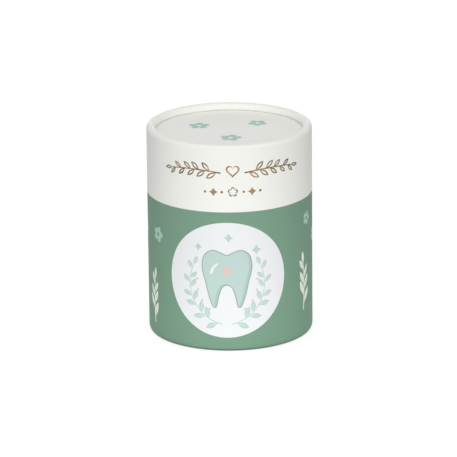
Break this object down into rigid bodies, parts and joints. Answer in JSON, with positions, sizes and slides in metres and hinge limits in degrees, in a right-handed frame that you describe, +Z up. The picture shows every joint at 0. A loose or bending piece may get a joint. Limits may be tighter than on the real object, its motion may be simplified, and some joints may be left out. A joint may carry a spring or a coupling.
{
  "type": "baby tooth box",
  "caption": "Small round paperboard keepsake box for milk teeth, with rolled edges, a printed paper wrap and a lid that lifts off an inner neck.",
  "frame": {"origin": "centre of the foot ring, on the surface that the box stands on", "axes": "+Z up along the axis of the tubes, the way the lid lifts; -Y is the printed front, +X to the right of it"},
  "size_m": [0.055, 0.0551, 0.0705],
  "materials": {
    "green_paper": "sage green print on matte paper",
    "white_paper": "white matte paper with small prints",
    "lining_paper": "plain uncoated white paper",
    "neck_board": "white-lined paperboard, cut edge bare",
    "tube_board": "wound grey paperboard"
  },
  "bodies": {
    "base": {"base_wrap": "green_paper", "base_tube": "tube_board", "base_disc_cover": "lining_paper", "base_disc": "tube_board", "floor_liner": "lining_paper", "neck_tube": "neck_board"},
    "lid": {"lid_wrap": "white_paper", "lid_tube": "tube_board", "lid_disc_cover": "white_paper", "lid_disc": "tube_board", "lid_disc_liner": "lining_paper"}
  },
  "joints": [
    {"name": "lid_lift", "type": "slide", "parent": "base", "child": "lid", "axis": [0, 0, 1], "range_m": [0, 0.06]}
  ]
}
